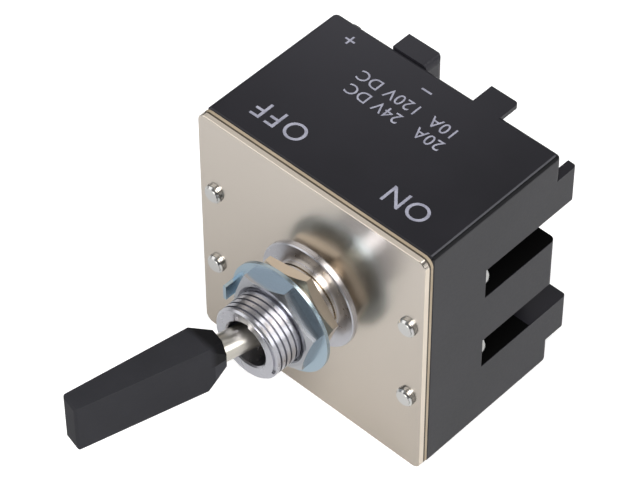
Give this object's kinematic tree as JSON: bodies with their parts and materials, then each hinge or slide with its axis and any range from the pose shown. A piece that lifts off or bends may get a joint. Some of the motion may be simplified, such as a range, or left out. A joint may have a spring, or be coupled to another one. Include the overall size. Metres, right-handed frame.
{
  "type": "panel toggle switch",
  "caption": "Panel toggle switch with a flat paddle lever, threaded bushing with nuts and locking ring, square plated front and a black moulded terminal housing.",
  "frame": {"origin": "bushing axis at the front of the face plate", "axes": "+Y runs back along the bushing axis into the housing, +Z is the printed face, +X is the ON side"},
  "size_m": [0.043, 0.0723, 0.044],
  "materials": {
    "bright_plate": "satin",
    "dark_sheet": "matte",
    "beige_sheet": "matte",
    "black_moulding": "matte",
    "bushing_zinc": "satin",
    "rear_nut_nickel": "satin",
    "front_nut_zinc": "satin",
    "ring_zinc": "satin",
    "pin_steel": "satin",
    "stem_nickel": "polished",
    "black_handle": "matte",
    "slider_moulding": "matte",
    "plunger_steel": "satin",
    "spring_steel": "satin",
    "arm_copper": "satin",
    "contact_silver": "satin",
    "terminal_brass": "satin",
    "terminal_screw_steel": "satin",
    "case_screw_steel": "polished"
  },
  "bodies": {
    "case": {"bushing": "bushing_zinc", "case_screw_1": "case_screw_steel", "case_screw_2": "case_screw_steel", "case_screw_3": "case_screw_steel", "case_screw_4": "case_screw_steel", "face_plate": "bright_plate", "fixed_contact_1": "contact_silver", "fixed_contact_2": "contact_silver", "fixed_contact_3": "contact_silver", "front_nut": "front_nut_zinc", "housing": "black_moulding", "inner_plate": "beige_sheet", "insulating_sheet": "dark_sheet", "lever_pin": "pin_steel", "locking_ring": "ring_zinc", "minus_terminal_1": "terminal_brass", "minus_terminal_2": "terminal_brass", "minus_terminal_3": "terminal_brass", "plus_terminal_1": "terminal_brass", "plus_terminal_2": "terminal_brass", "plus_terminal_3": "terminal_brass", "rear_nut": "rear_nut_nickel", "terminal_screw_1": "terminal_screw_steel", "terminal_screw_2": "terminal_screw_steel", "terminal_screw_3": "terminal_screw_steel", "terminal_screw_4": "terminal_screw_steel", "terminal_screw_5": "terminal_screw_steel", "terminal_screw_6": "terminal_screw_steel"},
    "lever": {"lever_stem": "stem_nickel", "lever_handle": "black_handle"},
    "slider": {"actuator": "slider_moulding", "plunger_1": "plunger_steel", "plunger_2": "plunger_steel", "plunger_3": "plunger_steel", "plunger_spring_1": "spring_steel", "plunger_spring_2": "spring_steel", "plunger_spring_3": "spring_steel"},
    "contact_arms": {"contact_arm_1": "arm_copper", "contact_arm_2": "arm_copper", "contact_arm_3": "arm_copper", "moving_contact_1": "contact_silver", "moving_contact_2": "contact_silver", "moving_contact_3": "contact_silver"}
  },
  "joints": [
    {"name": "lever_hinge", "type": "hinge", "parent": "case", "child": "lever", "pos_m": [0, -0.00726, 0], "axis": [0, 0, 1], "range_deg": [0, 27]},
    {"name": "slider_travel", "type": "slide", "parent": "case", "child": "slider", "axis": [-1, 0, 0], "range_m": [0, 0.00617]},
    {"name": "arm_rock", "type": "hinge", "parent": "case", "child": "contact_arms", "pos_m": [0, 0.0159, 0], "axis": [0, 0, 1], "range_deg": [-16.01, 0]}
  ],
  "couplings": [
    {"joint": "slider_travel", "follows": "lever_hinge", "m_per_rad": 0.013078},
    {"joint": "arm_rock", "follows": "lever_hinge", "ratio": -0.59259}
  ]
}
